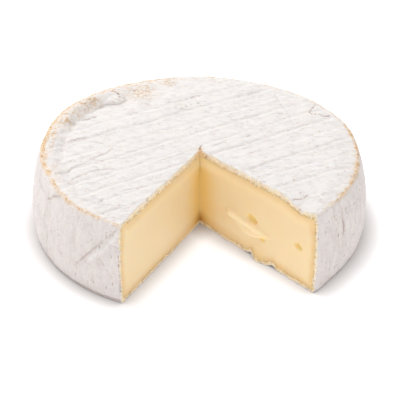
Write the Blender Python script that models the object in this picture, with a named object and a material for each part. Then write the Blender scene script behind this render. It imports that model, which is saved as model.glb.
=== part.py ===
"""A small round brie with a white rind, standing on its flat base, with one wedge cut out.

A plain cross-section is spun round the wheel's upright axis through the angle that is left.
Every point of that sector is then moved to the uneven form of the real cheese: its barrel side,
the raised lip, the print of the draining mat, and what the knife left on the two cut faces.

Lengths are in metres and angles in degrees. Angle 0 points along +X and angle 90 along +Y,
and the gap faces -Y. The origin is on the ground, under the middle of the whole piece.
"""

import math

import bmesh
import bpy
from mathutils import Matrix, Vector

MM = 0.001

# The wheel
HEIGHT = 35.2 * MM
RIM_RADIUS = 63.2 * MM
BASE_RADIUS = 66.1 * MM
BARREL = 2.4 * MM
BARREL_LOST_AT_CUT = 0.55
BARREL_LOST_REACH = 10
EDGE_ROUND = 1.6 * MM
RIND = 2.0 * MM
SIDE_RIND = 2.4 * MM
AXIS = Vector((-0.1, -4.1, 0.0)) * MM

# The two cut faces, each a little twisted between the base and the top
RIGHT_CUT_BASE = -49.0
RIGHT_CUT_TOP = -45.8
LEFT_CUT_BASE = 242.6
LEFT_CUT_TOP = 241.2

# Where the wheel bulges or is drawn in: angle, how far round it reaches, and how much
RIM_SWELLS = (
    (-45, 38, 2.3 * MM),
    (68, 24, -1.6 * MM),
    (110, 16, -1.0 * MM),
    (152, 14, 1.1 * MM),
    (196, 9, -1.3 * MM),
    (224, 7, 0.6 * MM),
    (245, 8, 1.0 * MM),
    (20, 9, 0.5 * MM),
)
FOOT_SWELL = (-49, 9, 2.0 * MM)
SIDE_FOLDS = (
    (205, 2.6, -0.6 * MM),
    (223, 2.2, -0.5 * MM),
    (-33, 2.2, -0.4 * MM),
)

# The top: a flat field inside a shoulder that falls to the rim, with a crumpled lip at the back left
FIELD_SHARE = 0.84
SHOULDER_DROP = 0.9 * MM
LIP_ANGLE = 143
LIP_REACH = 30
LIP_SHARE = 0.94
LIP_WIDTH = 0.055
LIP_RISE = 1.5 * MM
LIP_TROUGH = 0.7 * MM
MAT_PITCH = 9.4 * MM
MAT_DEPTH = 0.25 * MM
MAT_ANGLE = 31

# The right face's outer end, where the rind sags over the cut
SAG_RADIUS = 57 * MM
SAG_REACH = 6.5 * MM
SAG_DROP = 1.9 * MM
SAG_FORWARD = 1.2 * MM

# What the knife left on the right face: distance from the axis and height
TEAR = ((17, 13.6), (24, 12.4), (30, 10.8), (36, 11.2))
TEAR_REACH = 2.4 * MM
TEAR_RISE = 0.8 * MM
HOLES = (
    ("hole_large", 30.6, 16.2, Vector((2.7, 1.7, 1.6)) * MM),
    ("hole_small", 57.0, 15.6, Vector((2.0, 1.3, 1.0)) * MM),
)
NOTCHES = (31.3 * MM, 44.2 * MM)
NOTCH_WIDTH = 1.9 * MM
NOTCH_RISE = 1.1 * MM
NOTCH_DEPTH = 4.0 * MM
LEAST_RISE = 0.1 * MM
LOBE_RADIUS = 37.5 * MM
LOBE_REACH = 4.0 * MM
LOBE_FORWARD = 1.1 * MM

# How finely the sector and the hole cutters are divided
RINGS = 24
LEVELS = 12
STEPS = 112
HOLE_SEGMENTS = 16
HOLE_RINGS = 9

# Colour and roughness of the two materials, and the angle from which an edge looks sharp
RIND_FINISH = ((0.80, 0.75, 0.71), 0.85)
PASTE_FINISH = ((0.83, 0.60, 0.27), 0.45)
SHARP_ANGLE = 40


def hump(distance, reach):
    """A smooth rise that is 1 at no distance and has almost gone at twice its reach."""
    return math.exp(-((distance / reach) ** 2))


def turn(angle, other):
    """The signed angle from one direction to another, by the short way round."""
    return (angle - other + 180) % 360 - 180


def mix(low, high, share):
    return low + (high - low) * share


def swell(angle, swells):
    """The sum of the swells at this angle."""
    return sum(amount * hump(turn(angle, centre), reach) for centre, reach, amount in swells)


def graded(cells, size, end, both_ends):
    """Shares from 0 to 1 of a run of this size: even cells, with a short one at the end or at both ends."""
    short = end / size
    first = short if both_ends else 0.0
    inner = cells - (2 if both_ends else 1)
    middle = [mix(first, 1 - short, step / inner) for step in range(inner + 1)]
    return ([0.0] if both_ends else []) + middle + [1.0]


OUT_SHARES = graded(RINGS, RIM_RADIUS, EDGE_ROUND, both_ends=False)
UP_SHARES = graded(LEVELS, HEIGHT, EDGE_ROUND, both_ends=True)
CORNER_PULL = EDGE_ROUND * (1 - math.sqrt(0.5))


def side_radius(angle, up):
    """From the axis to the skin: a straight flank from foot to rim, with the barrel's curve and the folds on it."""
    rim = RIM_RADIUS + swell(angle, RIM_SWELLS)
    foot = BASE_RADIUS + swell(angle, (FOOT_SWELL,))
    curve = 4 * up * (1 - up)
    from_cut = min(abs(turn(angle, RIGHT_CUT_BASE)), abs(turn(angle, LEFT_CUT_BASE)))
    barrel = BARREL * (1 - BARREL_LOST_AT_CUT * hump(from_cut, BARREL_LOST_REACH))
    pulled = CORNER_PULL if up in (0.0, 1.0) else 0.0
    return mix(foot, rim, up) + (barrel + swell(angle, SIDE_FOLDS)) * curve - pulled


def mat_print(x, y):
    """Long parallel ribs that the draining mat pressed into the top."""
    across = y * math.cos(math.radians(MAT_ANGLE)) - x * math.sin(math.radians(MAT_ANGLE))
    return MAT_DEPTH * math.cos(2 * math.pi * across / MAT_PITCH)


def top_height(x, y, angle, out):
    """The flat field with its ribs, the shoulder outside it, and the lip with its trough at the back left."""
    shoulder = max(0.0, (out - FIELD_SHARE) / (1 - FIELD_SHARE))
    lip = hump(turn(angle, LIP_ANGLE), LIP_REACH)
    height = HEIGHT + mat_print(x, y) * (1 - shoulder)
    height -= SHOULDER_DROP * shoulder**2 * (1 - lip)
    height += LIP_RISE * lip * hump(out - LIP_SHARE, LIP_WIDTH)
    height -= LIP_TROUGH * lip * hump(out - FIELD_SHARE, 2 * LIP_WIDTH)
    radius = math.hypot(x, y)
    from_edge = radius * math.radians(turn(angle, RIGHT_CUT_TOP))
    height -= SAG_DROP * hump(math.hypot(radius - SAG_RADIUS, from_edge), SAG_REACH)
    return height - (CORNER_PULL if out == 1.0 else 0.0)


def base_height(radius, angle, out):
    """The base is flat on the ground, apart from its rounded edge and two notches under the right face."""
    from_face = radius * math.radians(turn(angle, RIGHT_CUT_BASE))
    notches = sum(hump(radius - notch, NOTCH_WIDTH) for notch in NOTCHES)
    rise = NOTCH_RISE * notches * hump(from_face, NOTCH_DEPTH / 2)
    if rise < LEAST_RISE:
        rise = 0.0
    return rise + (CORNER_PULL if out == 1.0 else 0.0)


def to_segment(point, start, end):
    """The distance from a point to a straight piece of line."""
    along = (point - start).dot(end - start) / (end - start).length_squared
    return (point - start.lerp(end, min(1.0, max(0.0, along)))).length


def right_face_relief(radius, height):
    """How far the right face stands forward of its plane: the tear, the sagging corner and the lobe at the base."""
    spot = Vector((radius, height))
    line = [Vector(place) * MM for place in TEAR]
    distance = min(to_segment(spot, start, end) for start, end in zip(line, line[1:]))
    corner = Vector((SAG_RADIUS, HEIGHT))
    lobe = Vector((LOBE_RADIUS, 0.0))
    return (
        TEAR_RISE * hump(distance, TEAR_REACH)
        + SAG_FORWARD * hump((spot - corner).length, SAG_REACH)
        + LOBE_FORWARD * hump((spot - lobe).length, LOBE_REACH)
    )


def right_face_normal():
    """Level, out of the right face and into the gap."""
    middle = math.radians((RIGHT_CUT_BASE + RIGHT_CUT_TOP) / 2 - 90)
    return Vector((math.cos(middle), math.sin(middle), 0.0))


def placed(out, up, around):
    """The real place of the point that lies these shares of the way out, up and round the sector."""
    start = mix(RIGHT_CUT_BASE, RIGHT_CUT_TOP, up)
    end = mix(LEFT_CUT_BASE, LEFT_CUT_TOP, up)
    angle = mix(start, end, around)
    radius = out * side_radius(angle, up)
    x = radius * math.cos(math.radians(angle))
    y = radius * math.sin(math.radians(angle))
    bottom = base_height(radius, angle, out)
    z = mix(bottom, top_height(x, y, angle, out), up)
    point = Vector((x, y, z))
    if around == 0.0 and out > 0.0:
        point += right_face_normal() * right_face_relief(radius, z)
    return AXIS + point


def spun_sector(form):
    """A flat grid of one unit, spun round the upright axis. Gives each point's shares out, up and round."""
    upright = Matrix.Translation((0.5, 0, 0.5)) @ Matrix.Rotation(math.radians(90), 4, "X")
    bmesh.ops.create_grid(form, x_segments=RINGS, y_segments=LEVELS, size=0.5, matrix=upright)
    sweep = LEFT_CUT_BASE - RIGHT_CUT_BASE
    bmesh.ops.spin(
        form,
        geom=form.verts[:] + form.edges[:] + form.faces[:],
        cent=(0, 0, 0),
        axis=(0, 0, 1),
        angle=math.radians(sweep),
        steps=STEPS,
    )
    bmesh.ops.remove_doubles(form, verts=form.verts, dist=1e-4)
    shares = {}
    for vert in form.verts:
        ring = round(math.hypot(vert.co.x, vert.co.y) * RINGS)
        level = round(vert.co.z * LEVELS)
        angle = math.degrees(math.atan2(vert.co.y, vert.co.x)) % 360 if ring else 0.0
        step = round(angle / sweep * STEPS) % round(360 / sweep * STEPS)
        shares[vert] = (OUT_SHARES[ring], UP_SHARES[level], step / STEPS)
    return shares


def paint_paste(form, shares):
    """Gives the inside of both cut faces the paste's material, within the rind."""
    widest = 1 - SIDE_RIND / RIM_RADIUS
    for face in form.faces:
        for side in (0.0, 1.0):
            on_cut = all(shares[vert][0] == 0.0 or shares[vert][2] == side for vert in face.verts)
            middle = face.calc_center_median()
            out = sum(shares[vert][0] for vert in face.verts) / len(face.verts)
            if on_cut and RIND < middle.z < HEIGHT - RIND and out < widest:
                face.material_index = 1


def flatten_base(form):
    """Makes the level part of the base one flat face."""
    level = [face for face in form.faces if all(vert.co.z == 0.0 for vert in face.verts)]
    bmesh.ops.dissolve_faces(form, faces=level, use_verts=True)


def finish(name, colour, roughness):
    """A plain coloured material."""
    material = bpy.data.materials.new(name)
    material.use_nodes = True
    shader = material.node_tree.nodes["Principled BSDF"]
    shader.inputs["Base Color"].default_value = (*colour, 1.0)
    shader.inputs["Roughness"].default_value = roughness
    shader.inputs["Metallic"].default_value = 0.0
    return material


def add_object(name, form):
    mesh = bpy.data.meshes.new(name)
    form.to_mesh(mesh)
    form.free()
    thing = bpy.data.objects.new(name, mesh)
    bpy.context.scene.collection.objects.link(thing)
    return thing


def make_cheese():
    """The whole piece: one solid, with rind and paste as two materials."""
    form = bmesh.new()
    shares = spun_sector(form)
    for vert, (out, up, around) in shares.items():
        vert.co = placed(out, up, around)
    paint_paste(form, shares)
    flatten_base(form)
    bmesh.ops.recalc_face_normals(form, faces=form.faces)
    cheese = add_object("cheese", form)
    cheese.data.materials.append(finish("rind", *RIND_FINISH))
    cheese.data.materials.append(finish("paste", *PASTE_FINISH))
    cheese.data.shade_smooth()
    cheese.data.set_sharp_from_angle(angle=math.radians(SHARP_ANGLE))
    return cheese


def cut_hole(cheese, name, radius, height, size):
    """Scoops one small hole out of the right face with an egg-shaped cutter that lies along the face."""
    forward = right_face_normal()
    outward = Vector((-forward.y, forward.x, 0.0))
    turned = Matrix((outward, Vector((0, 0, 1)), forward)).transposed().to_4x4()
    place = Matrix.Translation(AXIS + outward * radius * MM + Vector((0, 0, height * MM)))
    shape = bmesh.new()
    bmesh.ops.create_uvsphere(
        shape,
        u_segments=HOLE_SEGMENTS,
        v_segments=HOLE_RINGS,
        radius=1.0,
        matrix=place @ turned @ Matrix.Diagonal((*size, 1.0)),
    )
    bmesh.ops.recalc_face_normals(shape, faces=shape.faces)
    cutter = add_object(name, shape)
    cutter.hide_render = True
    cutter.display_type = "WIRE"
    cut = cheese.modifiers.new(name, "BOOLEAN")
    cut.operation = "DIFFERENCE"
    cut.object = cutter


def main():
    for old in list(bpy.data.objects):
        bpy.data.objects.remove(old, do_unlink=True)
    cheese = make_cheese()
    for name, radius, height, size in HOLES:
        cut_hole(cheese, name, radius, height, size)


main()
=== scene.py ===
"""The looks of a small brie with one wedge cut out: its rind, its paste, crumbs, floor, light and camera.

All shapes are worked out in millimetres from the foot of the wheel's axis, where the two cuts meet,
and become metres in the row's frame when they are put into a mesh. Angle 0 points along +X, angle 90
along +Y, and the gap faces -Y.
"""

import itertools
import math

import bpy
import numpy as np
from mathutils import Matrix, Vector


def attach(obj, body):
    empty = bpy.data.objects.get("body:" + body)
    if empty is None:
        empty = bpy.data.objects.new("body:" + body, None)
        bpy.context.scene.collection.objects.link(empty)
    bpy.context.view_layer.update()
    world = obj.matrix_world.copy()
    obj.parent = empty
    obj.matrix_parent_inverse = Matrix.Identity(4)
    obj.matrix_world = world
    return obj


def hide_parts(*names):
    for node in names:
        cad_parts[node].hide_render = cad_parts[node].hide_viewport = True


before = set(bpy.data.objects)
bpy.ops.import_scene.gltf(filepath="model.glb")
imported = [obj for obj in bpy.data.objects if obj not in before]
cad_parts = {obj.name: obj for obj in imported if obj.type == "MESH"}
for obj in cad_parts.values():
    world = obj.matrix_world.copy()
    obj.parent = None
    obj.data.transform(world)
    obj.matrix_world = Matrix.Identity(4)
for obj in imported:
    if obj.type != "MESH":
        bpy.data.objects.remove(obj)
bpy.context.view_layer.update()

MM = 0.001
AXIS = np.array([-0.1, -4.1, 0.0])

# The wheel as in the solid, with crisper folds, notches and lobe, in millimetres and degrees
HEIGHT = 35.2
RIM_RADIUS = 63.2
BASE_RADIUS = 66.1
BARREL = 2.4
BARREL_LOST_AT_CUT = 0.55
BARREL_LOST_REACH = 10
RIGHT_CUT_BASE = -49.0
RIGHT_CUT_TOP = -45.8
LEFT_CUT_BASE = 242.6
LEFT_CUT_TOP = 241.2

# Where the rim, the foot and the side swell or are drawn in: angle, reach in degrees, how much
RIM_SWELLS = (
    (-45, 38, 2.3), (68, 24, -1.6), (110, 16, -1.0), (152, 14, 1.1),
    (196, 9, -1.3), (224, 7, 0.6), (245, 8, 1.0), (20, 9, 0.5),
)
FOOT_SWELL = (-49, 9, 2.0)
SIDE_FOLDS = ((205, 1.6, -0.7), (223, 1.4, -0.6), (-33, 1.4, -0.5))

# The top's field, shoulder and lip, and at the right face the sag, the notches and the lobe
FIELD_SHARE = 0.84
SHOULDER_DROP = 0.9
LIP_ANGLE = 143
LIP_REACH = 30
LIP_SHARE = 0.94
LIP_WIDTH = 0.055
LIP_RISE = 1.5
LIP_TROUGH = 0.7
SAG_RADIUS = 57
SAG_REACH = 6.5
SAG_DROP = 1.9
SAG_FORWARD = 1.2
NOTCHES = (31.3, 44.2)
NOTCH_WIDTH = 1.7
NOTCH_RISE = 1.3
NOTCH_DEPTH = 4.0
LOBE_RADIUS = 36.6
LOBE_REACH = 3.6
LOBE_FORWARD = 1.8
LOBE_SINK = 0.45

# The rind: its corners, and how thick it is on the top, the side and the base
RIM_ROUND = 1.1
FOOT_ROUND = 1.3
INNER_ROUND = 0.4
TOP_RIND = 3.1
TOP_RIND_AT_LEFT_CORNER = 0.8
SIDE_RIND = 1.5
BASE_RIND = 1.5
OVERLAP = 0.6
SIDE_OVERLAP = 0.4

# How finely the rind is divided: rows from the top's middle round the side to the base's middle
TOP_ROWS = 104
TOP_EDGE_ROWS = 26
TOP_EDGE_SHARE = 0.87
RIM_ROWS = 6
FLANK_ROWS = 54
FOOT_ROWS = 4
BASE_ROWS = (8, 26, 8)
BASE_SPLITS = (0.22, 0.62)
COLUMNS = 424
COLUMN_PULL = 0.45
HIDDEN_COLUMNS = 24
STRIP_CELLS = 8

# Noise: its cells each way before it repeats, and what brings it to about -1 to 1
NOISE_CELLS = 32
NOISE_GAIN = 1.6


def hump(distance, reach):
    """A smooth rise: 1 at no distance, exp(-1) at its reach, and almost gone at twice its reach."""
    return np.exp(-((distance / reach) ** 2))


def turn(angle, other):
    """The signed angle from one direction to another, by the short way round."""
    return (angle - other + 180) % 360 - 180


def mix(low, high, share):
    """What lies this share of the way from low to high."""
    return low + (high - low) * share


def smooth(low, high, value):
    """0 below low, 1 above high, and a smooth cubic step between them."""
    share = np.clip((value - low) / (high - low), 0, 1)
    return share * share * (3 - 2 * share)


def stacked(u, v=0, w=0):
    """Three coordinates, spread to one shape, as an array of places."""
    return np.stack(np.broadcast_arrays(u, v, w), axis=-1)


def leaning(x, y, lean):
    """How far places lie along and across a direction that leans by this angle."""
    return x * math.cos(lean) + y * math.sin(lean), y * math.cos(lean) - x * math.sin(lean)


def swell(angle, swells):
    """The sum of the swells at each angle."""
    return sum(amount * hump(turn(angle, centre), reach) for centre, reach, amount in swells)


def noise(places, size, seed):
    """A smooth random field of about -1 to 1 whose lumps are about one size across.

    Each whole lattice point has a random slope. The eight slopes round a place are blended with the
    curve 6t^5 - 15t^4 + 10t^3. A size of three numbers stretches the lumps along the axes.
    """
    slopes = np.random.default_rng(seed).normal(size=(NOISE_CELLS, NOISE_CELLS, NOISE_CELLS, 3))
    slopes /= np.linalg.norm(slopes, axis=-1, keepdims=True)
    spot = np.asarray(places) / size
    corner = np.floor(spot).astype(int)
    inside = spot - corner
    fade = inside**3 * (inside * (inside * 6 - 15) + 10)
    total = 0.0
    for step in itertools.product((0, 1), repeat=3):
        slope = slopes[tuple(np.moveaxis((corner + step) % NOISE_CELLS, -1, 0))]
        weight = np.where(step, fade, 1 - fade).prod(axis=-1)
        total = total + weight * (slope * (inside - step)).sum(axis=-1)
    return NOISE_GAIN * total


def layered(places, size, octaves, seed):
    """Noise of halving size and strength, added together."""
    sizes = np.asarray(size, float)
    return sum(noise(places, sizes / 2**k, seed + k) / 2**k for k in range(octaves))


def to_line(u, v, line):
    """The distance from every (u, v) to a line through points: the least over its straight pieces."""
    best = np.full(np.shape(u), np.inf)
    for (u0, v0), (u1, v1) in zip(line, line[1:]):
        du, dv = u1 - u0, v1 - v0
        along = np.clip(((u - u0) * du + (v - v0) * dv) / (du * du + dv * dv), 0, 1)
        best = np.minimum(best, np.hypot(u - u0 - along * du, v - v0 - along * dv))
    return best


def side_radius(angle, up):
    """From the axis to the skin: a straight flank from foot to rim, plus the barrel's curve and folds."""
    rim = RIM_RADIUS + swell(angle, RIM_SWELLS)
    foot = BASE_RADIUS + swell(angle, (FOOT_SWELL,))
    curve = 4 * up * (1 - up)
    from_cut = np.minimum(abs(turn(angle, RIGHT_CUT_BASE)), abs(turn(angle, LEFT_CUT_BASE)))
    barrel = BARREL * (1 - BARREL_LOST_AT_CUT * hump(from_cut, BARREL_LOST_REACH))
    return mix(foot, rim, up) + (barrel + swell(angle, SIDE_FOLDS)) * curve


def top_level(radius, angle, out):
    """The top's height: field, shoulder, lip with its trough at the back left, and sagging corner."""
    shoulder = np.maximum(0, (out - FIELD_SHARE) / (1 - FIELD_SHARE))
    lip = hump(turn(angle, LIP_ANGLE), LIP_REACH)
    height = HEIGHT - SHOULDER_DROP * shoulder**2 * (1 - lip)
    height = height + LIP_RISE * lip * hump(out - LIP_SHARE, LIP_WIDTH)
    height = height - LIP_TROUGH * lip * hump(out - FIELD_SHARE, 2 * LIP_WIDTH)
    from_edge = radius * np.radians(turn(angle, RIGHT_CUT_TOP))
    return height - SAG_DROP * hump(np.hypot(radius - SAG_RADIUS, from_edge), SAG_REACH)


def base_level(radius, angle):
    """Flat on the ground, apart from two small arches under the right face."""
    from_face = radius * np.radians(turn(angle, RIGHT_CUT_BASE))
    arches = sum(hump(radius - notch, NOTCH_WIDTH) for notch in NOTCHES)
    return NOTCH_RISE * arches * hump(from_face, NOTCH_DEPTH / 2)


def cut_angles(up):
    """The angles of the right and the left cut at a share of the height."""
    return mix(RIGHT_CUT_BASE, RIGHT_CUT_TOP, up), mix(LEFT_CUT_BASE, LEFT_CUT_TOP, up)


def cut_angle(side, height):
    """The angle of one cut at a height. The right cut is side 0 and the left cut side 1."""
    return cut_angles(np.clip(height / HEIGHT, 0, 1))[side]


def angle_at(up, around):
    """The angle at shares of the height and of the way round from the right cut."""
    return mix(*cut_angles(up), around)


def cut_normal(side):
    """Level, out of a cut face and into the gap."""
    middle = math.radians(cut_angles(0.5)[side] + (90 if side else -90))
    return np.array([math.cos(middle), math.sin(middle), 0.0])


def row_shares():
    """The shares at which the rows of each stretch of the outline lie, from the top's middle."""
    field = np.linspace(0, TOP_EDGE_SHARE, TOP_ROWS - TOP_EDGE_ROWS, endpoint=False)
    edge = np.linspace(TOP_EDGE_SHARE, 1, TOP_EDGE_ROWS + 1)
    return (
        np.concatenate([field, edge]),
        *(np.linspace(0, 1, rows + 1)[1:] for rows in (RIM_ROWS, FLANK_ROWS, FOOT_ROWS)),
        np.interp(np.arange(1, sum(BASE_ROWS) + 1), np.cumsum((0,) + BASE_ROWS), (0,) + BASE_SPLITS + (1,)),
    )


# Where the rim's arc ends and the foot's arc starts, as turns from upright and from level
RIM_END = math.radians(70)
FOOT_START = math.radians(11)


def section(around, inset, rounding):
    """The outline of the wheel at each share of the way round, moved inwards by inset.

    Rows run from the top's middle out to the rim, round the rim's corner as an arc, down the barrel
    side, round the foot's corner as an arc, and in to the base's middle. inset is the depth for every
    row and share: straight down on the top, level on the side, straight up on the base. rounding is
    the arcs' two radii. Returns the radius, height and angle of every point.
    """
    top, rim, flank, foot, base = (part[:, None] for part in row_shares())
    ends = np.cumsum([len(part) for part in (top, rim, flank, foot, base)])
    top_inset, side_inset, base_inset = inset[: ends[0]], inset[ends[1] : ends[2]], inset[ends[3] :]

    rim_round, foot_round = rounding
    over = angle_at(1.0, around)
    high = HEIGHT - top_inset[-1:] - rim_round * (1 - math.cos(RIM_END))
    edge = side_radius(over, high / HEIGHT) - side_inset[:1] - rim_round * math.sin(RIM_END)
    top_radius = top * edge
    top_height = top_level(top_radius, over, top) - top_inset
    arc = rim * RIM_END
    rim_radius = edge + rim_round * np.sin(arc)
    rim_height = top_height[-1:] - rim_round * (1 - np.cos(arc))
    low = base_inset[:1] + foot_round * (1 - math.sin(FOOT_START))
    flank_height = mix(rim_height[-1:], low, flank)
    flank_angle = angle_at(flank_height / HEIGHT, around)
    flank_radius = side_radius(flank_angle, flank_height / HEIGHT) - side_inset
    arc = mix(FOOT_START, math.pi / 2, foot)
    foot_radius = flank_radius[-1:] - foot_round * (math.cos(FOOT_START) - np.cos(arc))
    foot_height = base_inset[:1] + foot_round * (1 - np.sin(arc))
    under = angle_at(0.0, around)
    base_radius = foot_radius[-1:] * (1 - base)
    base_height = base_level(base_radius, under) + base_inset

    radius = np.concatenate([top_radius, rim_radius, flank_radius, foot_radius, base_radius])
    height = np.concatenate([top_height, rim_height, flank_height, foot_height, base_height])
    up = np.clip(height / HEIGHT, 0, 1)
    up[: ends[0]], up[ends[3] :] = 1.0, 0.0
    return radius, height, angle_at(up, around)


def to_points(radius, height, angle):
    """Radius, height and angle as x, y and z."""
    return stacked(radius * np.cos(np.radians(angle)), radius * np.sin(np.radians(angle)), height)


def facing():
    """For each row of the outline, the way its skin faces: the angle above level."""
    top, rim, flank, foot, base = row_shares()
    steep = math.pi / 2
    return np.concatenate([
        np.full(len(top), steep),
        steep - rim * RIM_END,
        mix(steep - RIM_END, -FOOT_START, flank),
        mix(-FOOT_START, -steep, foot),
        np.full(len(base), -steep),
    ])[:, None]


def forward_form(side, radius, height):
    """How far a cut stands forward of its plane: at the right face's sagging corner and sunken lobe."""
    if side == 1:
        return np.zeros(np.shape(radius))
    sagging = SAG_FORWARD * hump(np.hypot(radius - SAG_RADIUS, height - HEIGHT), SAG_REACH)
    return sagging + LOBE_FORWARD * hump(np.hypot(radius - LOBE_RADIUS, height), LOBE_REACH)


# Grooves of the draining mat in the top, with a bank beside each: how far behind the axis, slope, strength
MAT_LINES = (
    (44.0, 29, 0.6), (34.2, 28.5, 1.1), (23.8, 30, 0.5), (14.0, 30, 0.85), (3.2, 31, 0.55),
    (-6.5, 31, 0.9), (-16.0, 31, 0.4), (-26.0, 30.5, 0.95), (-35.0, 29, 0.45), (-44.5, 28, 0.8),
)
MAT_GROOVE = 0.9
MAT_DEPTH = 0.7
MAT_LEAN = math.radians(30)
BANK_RISE = 0.35 * MAT_DEPTH
BANK_ASIDE = 2.0
BANK_WIDTH = 1.2
MAT_WANDER = 0.9
HOLLOW_DEPTH = 0.18
RIPPLE_DEPTH = 0.07
RIPPLE_SIZE = (8.0, 2.1, 1.0)

# Creases in the top: how deep, how wide, how brown, and the places that each one runs through
TOP_CREASES = (
    (0.45, 0.6, 0.5, (
        (-54, -18), (-50.3, -13.5), (-46.1, -10.5), (-43.6, -7.6), (-40.2, -4.6), (-37.7, -3), (-35.4, 0.9),
    )),
    (0.55, 0.6, 0.5, ((-50.4, -22.5), (-47.4, -20.3), (-44.5, -17.6), (-41, -15.7), (-33.9, -14.9))),
    (0.8, 0.5, 0.9, ((-48.2, 24.5), (-45.6, 25.8), (-42.8, 27.4))),
    (0.5, 0.5, 0.7, ((-54.4, 6.2), (-51.1, 7.8), (-49.6, 8.8), (-46.6, 10.3))),
    (0.3, 0.5, 0.5, ((-44.1, 6.7), (-41.7, 5.4), (-38.9, 4.4))),
    (0.35, 0.5, 0.3, ((-30.9, 6.2), (-22.2, 10.8), (-10.9, 15.4), (-5.7, 18.5), (-0.5, 23.2))),
    (0.45, 0.5, 0.45, ((-16.8, -8.8), (-13.2, -6.8), (-8.1, -3.3), (-3.5, 0.2), (-1.5, 1.2))),
    (0.3, 0.5, 0.5, ((-10.6, 39.5), (-7.4, 40.6), (-4.2, 42.2), (-1.5, 43.8))),
    (0.3, 0.5, 0.4, ((-46.8, -36.8), (-43.2, -38.7), (-40.2, -40.1), (-38.2, -39.1), (-37.9, -37.3))),
    (0.3, 0.6, 1.0, ((0, 0), (0.2, 1.8), (0.8, 3.6))),
    (0.4, 0.7, 0.1, ((-49.6, -28.2), (-40.7, -25.4), (-30.8, -17.6), (-22.9, -9.8), (-17.8, -5.8))),
    (0.45, 0.5, 0.35, ((31.3, 49.4), (31.4, 44), (32.1, 40.3), (34.1, 34.9), (35.6, 31.2), (37.5, 25.4))),
    (0.4, 0.5, 0.8, (
        (47.9, 37), (46.2, 33.3), (45.3, 30.7), (46.3, 28.6), (49.2, 28.6), (51.2, 27), (53.4, 28.1),
    )),
    (0.4, 0.5, 0.35, ((4.9, 2.3), (9.1, 5.4), (11.7, 8.4), (19, 13), (24.2, 16.6), (30.3, 20.2))),
    (0.35, 0.6, 0.7, ((35.6, -37.1), (38.7, -35.7), (40.7, -35.2), (43, -33.3))),
    (0.3, 0.5, 0.4, ((20, 44), (22, 47), (26, 47.5))),
    (0.3, 0.5, 0.6, ((-30, -31.2), (-26, -29.8), (-22.5, -28.4))),
    (0.6, 0.5, 0.85, (
        (-42.5, 42.2), (-40.9, 44.4), (-38.9, 45.5), (-35.7, 46.3), (-33.9, 43.6), (-32.9, 39.8),
    )),
)

# Dark marks on the top: how large, and where
TOP_SPOTS = (
    (0.7, -51.7, -17.1), (0.5, 28.4, -14.5), (0.5, 30.3, 19.7), (0.5, 36.2, 15.6), (0.5, 26.6, -6.2),
    (0.5, 37.3, -23.3), (0.6, 19.5, 10.5), (0.6, 20.6, 5.4), (0.5, 25.6, 7.9), (0.5, 44.0, 4.5),
    (0.5, 47.5, 3.0), (0.5, 51.0, -14.0), (0.6, -9.8, 34.4), (0.6, -7.5, 33.2), (0.6, -5.6, 35.2),
    (0.6, -3.4, 36.4), (0.6, -0.6, 37.6), (0.5, -47.5, -9.2), (0.5, -51.5, -9.0),
)
SPOT_STRETCH = 2.2
SPOT_DEPTH = 0.2
CRACK_WIDTH = 0.6
CRACK_WOBBLE = 0.35

# The tongue that the rim's fold lays on the lip at the back left, along its middle
TONGUE = ((-54, 24), (-50, 31), (-44.5, 38), (-39.5, 41.2), (-35.2, 41.2))
TONGUE_WIDTH = 4.2
TONGUE_RISE = 1.3

# The lip's inner slope at the back left: from its foot to its crest
SLOPE_FOOT = 54.6
SLOPE_CREST = 60.5
SLOPE_ANGLE = 168
SLOPE_REACH = 34


def lip_slope(radius, angle):
    """How much of each place lies on the lip's inner slope: all between foot and crest, less at the ends."""
    aside = turn(angle, SLOPE_ANGLE)
    ends = hump(aside, SLOPE_REACH) ** 0.5 * smooth(-42, -30, aside)
    radius = radius + 1.5 * layered(stacked(angle / 4), 2.0, 2, 16)
    inner = smooth(SLOPE_FOOT - 0.7, SLOPE_FOOT + 0.5, radius)
    return ends * inner * (1 - smooth(SLOPE_CREST - 1.5, SLOPE_CREST + 1, radius))


def stroke(x, y, x0, y0, lean):
    """The distance from a mark that is longer one way, leaning by an angle."""
    along, across = leaning(x - x0, y - y0, lean)
    return np.hypot(along / SPOT_STRETCH, across)


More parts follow.
